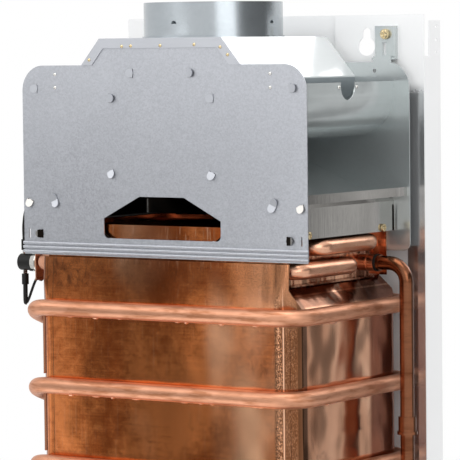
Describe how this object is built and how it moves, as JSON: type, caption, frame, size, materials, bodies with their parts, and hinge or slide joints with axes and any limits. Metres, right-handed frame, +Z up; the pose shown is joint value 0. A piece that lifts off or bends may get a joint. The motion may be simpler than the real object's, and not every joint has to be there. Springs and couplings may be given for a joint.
{
  "type": "tankless gas water heater",
  "caption": "Wall-hung open-flue gas water heater with its front casing off: draught diverter, copper finned exchanger over a coil-wrapped combustion chamber, burner, gas and water valves.",
  "frame": {"origin": "midway between the two keyhole entry holes, on the rear face of the back panel", "axes": "+X to the right seen from the front, +Y to the wall, +Z up"},
  "size_m": [0.3078, 0.231, 0.591],
  "materials": {
    "galvanised": "zinc coated sheet with a fine spangle",
    "copper": "bare copper, dulled and mottled by heat",
    "stainless": "brushed stainless sheet",
    "zinc_plate": "bright zinc or nickel plate",
    "cast_alloy": "shot-blasted die casting",
    "brass": "turned brass",
    "rubber": "matt black",
    "black_plastic": "fine grained moulding",
    "white_plastic": "smooth moulding",
    "white_enamel": "white powder coat",
    "ceramic": "glazed insulator",
    "cell_jacket": "plain printed steel can"
  },
  "bodies": {
    "heater": {"hanger_brackets": "galvanised", "diverter_front_plate": "galvanised", "diverter_rear_plate": "galvanised", "diverter_roof": "galvanised", "flue_collar": "galvanised", "flue_deflector": "galvanised", "side_gutter_right": "galvanised", "side_gutter_left": "galvanised", "gable_deflector": "galvanised", "burner_frame": "galvanised", "electrode_bracket": "galvanised", "pipe_bracket": "galvanised", "exchanger_jacket": "copper", "fin_pack": "copper", "exchanger_tubes": "copper", "return_bends_right": "copper", "return_bends_left": "copper", "combustion_shell": "copper", "heating_coil": "copper", "cold_feed_pipe": "copper", "hot_pipe": "copper", "hot_pipe_joint": "copper", "hot_pipe_lower": "copper", "thermostat_bracket": "copper", "flue_collector": "stainless", "burner_bars": "stainless", "bracket_screws": "zinc_plate", "collector_screws": "zinc_plate", "thermostat_flange": "zinc_plate", "thermostat_screws": "zinc_plate", "thermostat_terminals": "zinc_plate", "gas_manifold": "zinc_plate", "gas_pipe": "zinc_plate", "electrode_rods": "zinc_plate", "water_valve_screws": "zinc_plate", "gas_valve_body": "cast_alloy", "gas_valve_cover": "cast_alloy", "outlet_ferrule": "brass", "gas_injectors": "brass", "gas_inlet_fitting": "brass", "water_valve_body": "brass", "water_valve_cover": "brass", "cold_inlet_fitting": "brass", "hot_outlet_fitting": "brass", "outlet_seal": "rubber", "terminal_sleeves": "rubber", "thermostat_lead_upper": "rubber", "thermostat_lead_lower": "rubber", "diaphragm": "rubber", "thermostat_body": "black_plastic", "control_box": "black_plastic", "back_panel": "white_enamel", "electrode_ceramics": "ceramic"},
    "battery": {"battery_tray": "black_plastic", "battery_cells": "cell_jacket"},
    "power_knob": {"power_knob": "black_plastic"},
    "flow_knob": {"flow_knob": "black_plastic"},
    "power_button": {"power_button": "white_plastic"},
    "push_rod": {"push_rod": "zinc_plate"},
    "gas_plunger": {"gas_plunger": "brass"}
  },
  "joints": [
    {"name": "battery_slide", "type": "slide", "parent": "heater", "child": "battery", "axis": [0, 0, -1], "range_m": [0, 0.065]},
    {"name": "power_turn", "type": "hinge", "parent": "heater", "child": "power_knob", "pos_m": [0.005, -0.196, -0.452], "axis": [0, 1, 0], "range_deg": [0, 180]},
    {"name": "flow_turn", "type": "hinge", "parent": "heater", "child": "flow_knob", "pos_m": [-0.065, -0.196, -0.452], "axis": [0, 1, 0], "range_deg": [0, 270]},
    {"name": "button_press", "type": "slide", "parent": "heater", "child": "power_button", "axis": [0, 1, 0], "range_m": [0, 0.003], "stiffness_N_per_m": 400},
    {"name": "plunger_slide", "type": "slide", "parent": "heater", "child": "gas_plunger", "axis": [1, 0, 0], "range_m": [0, 0.004], "stiffness_N_per_m": 500},
    {"name": "rod_slide", "type": "slide", "parent": "heater", "child": "push_rod", "axis": [1, 0, 0], "range_m": [0, 0.004]}
  ],
  "couplings": [
    {"joint": "rod_slide", "follows": "plunger_slide", "ratio": 1}
  ]
}
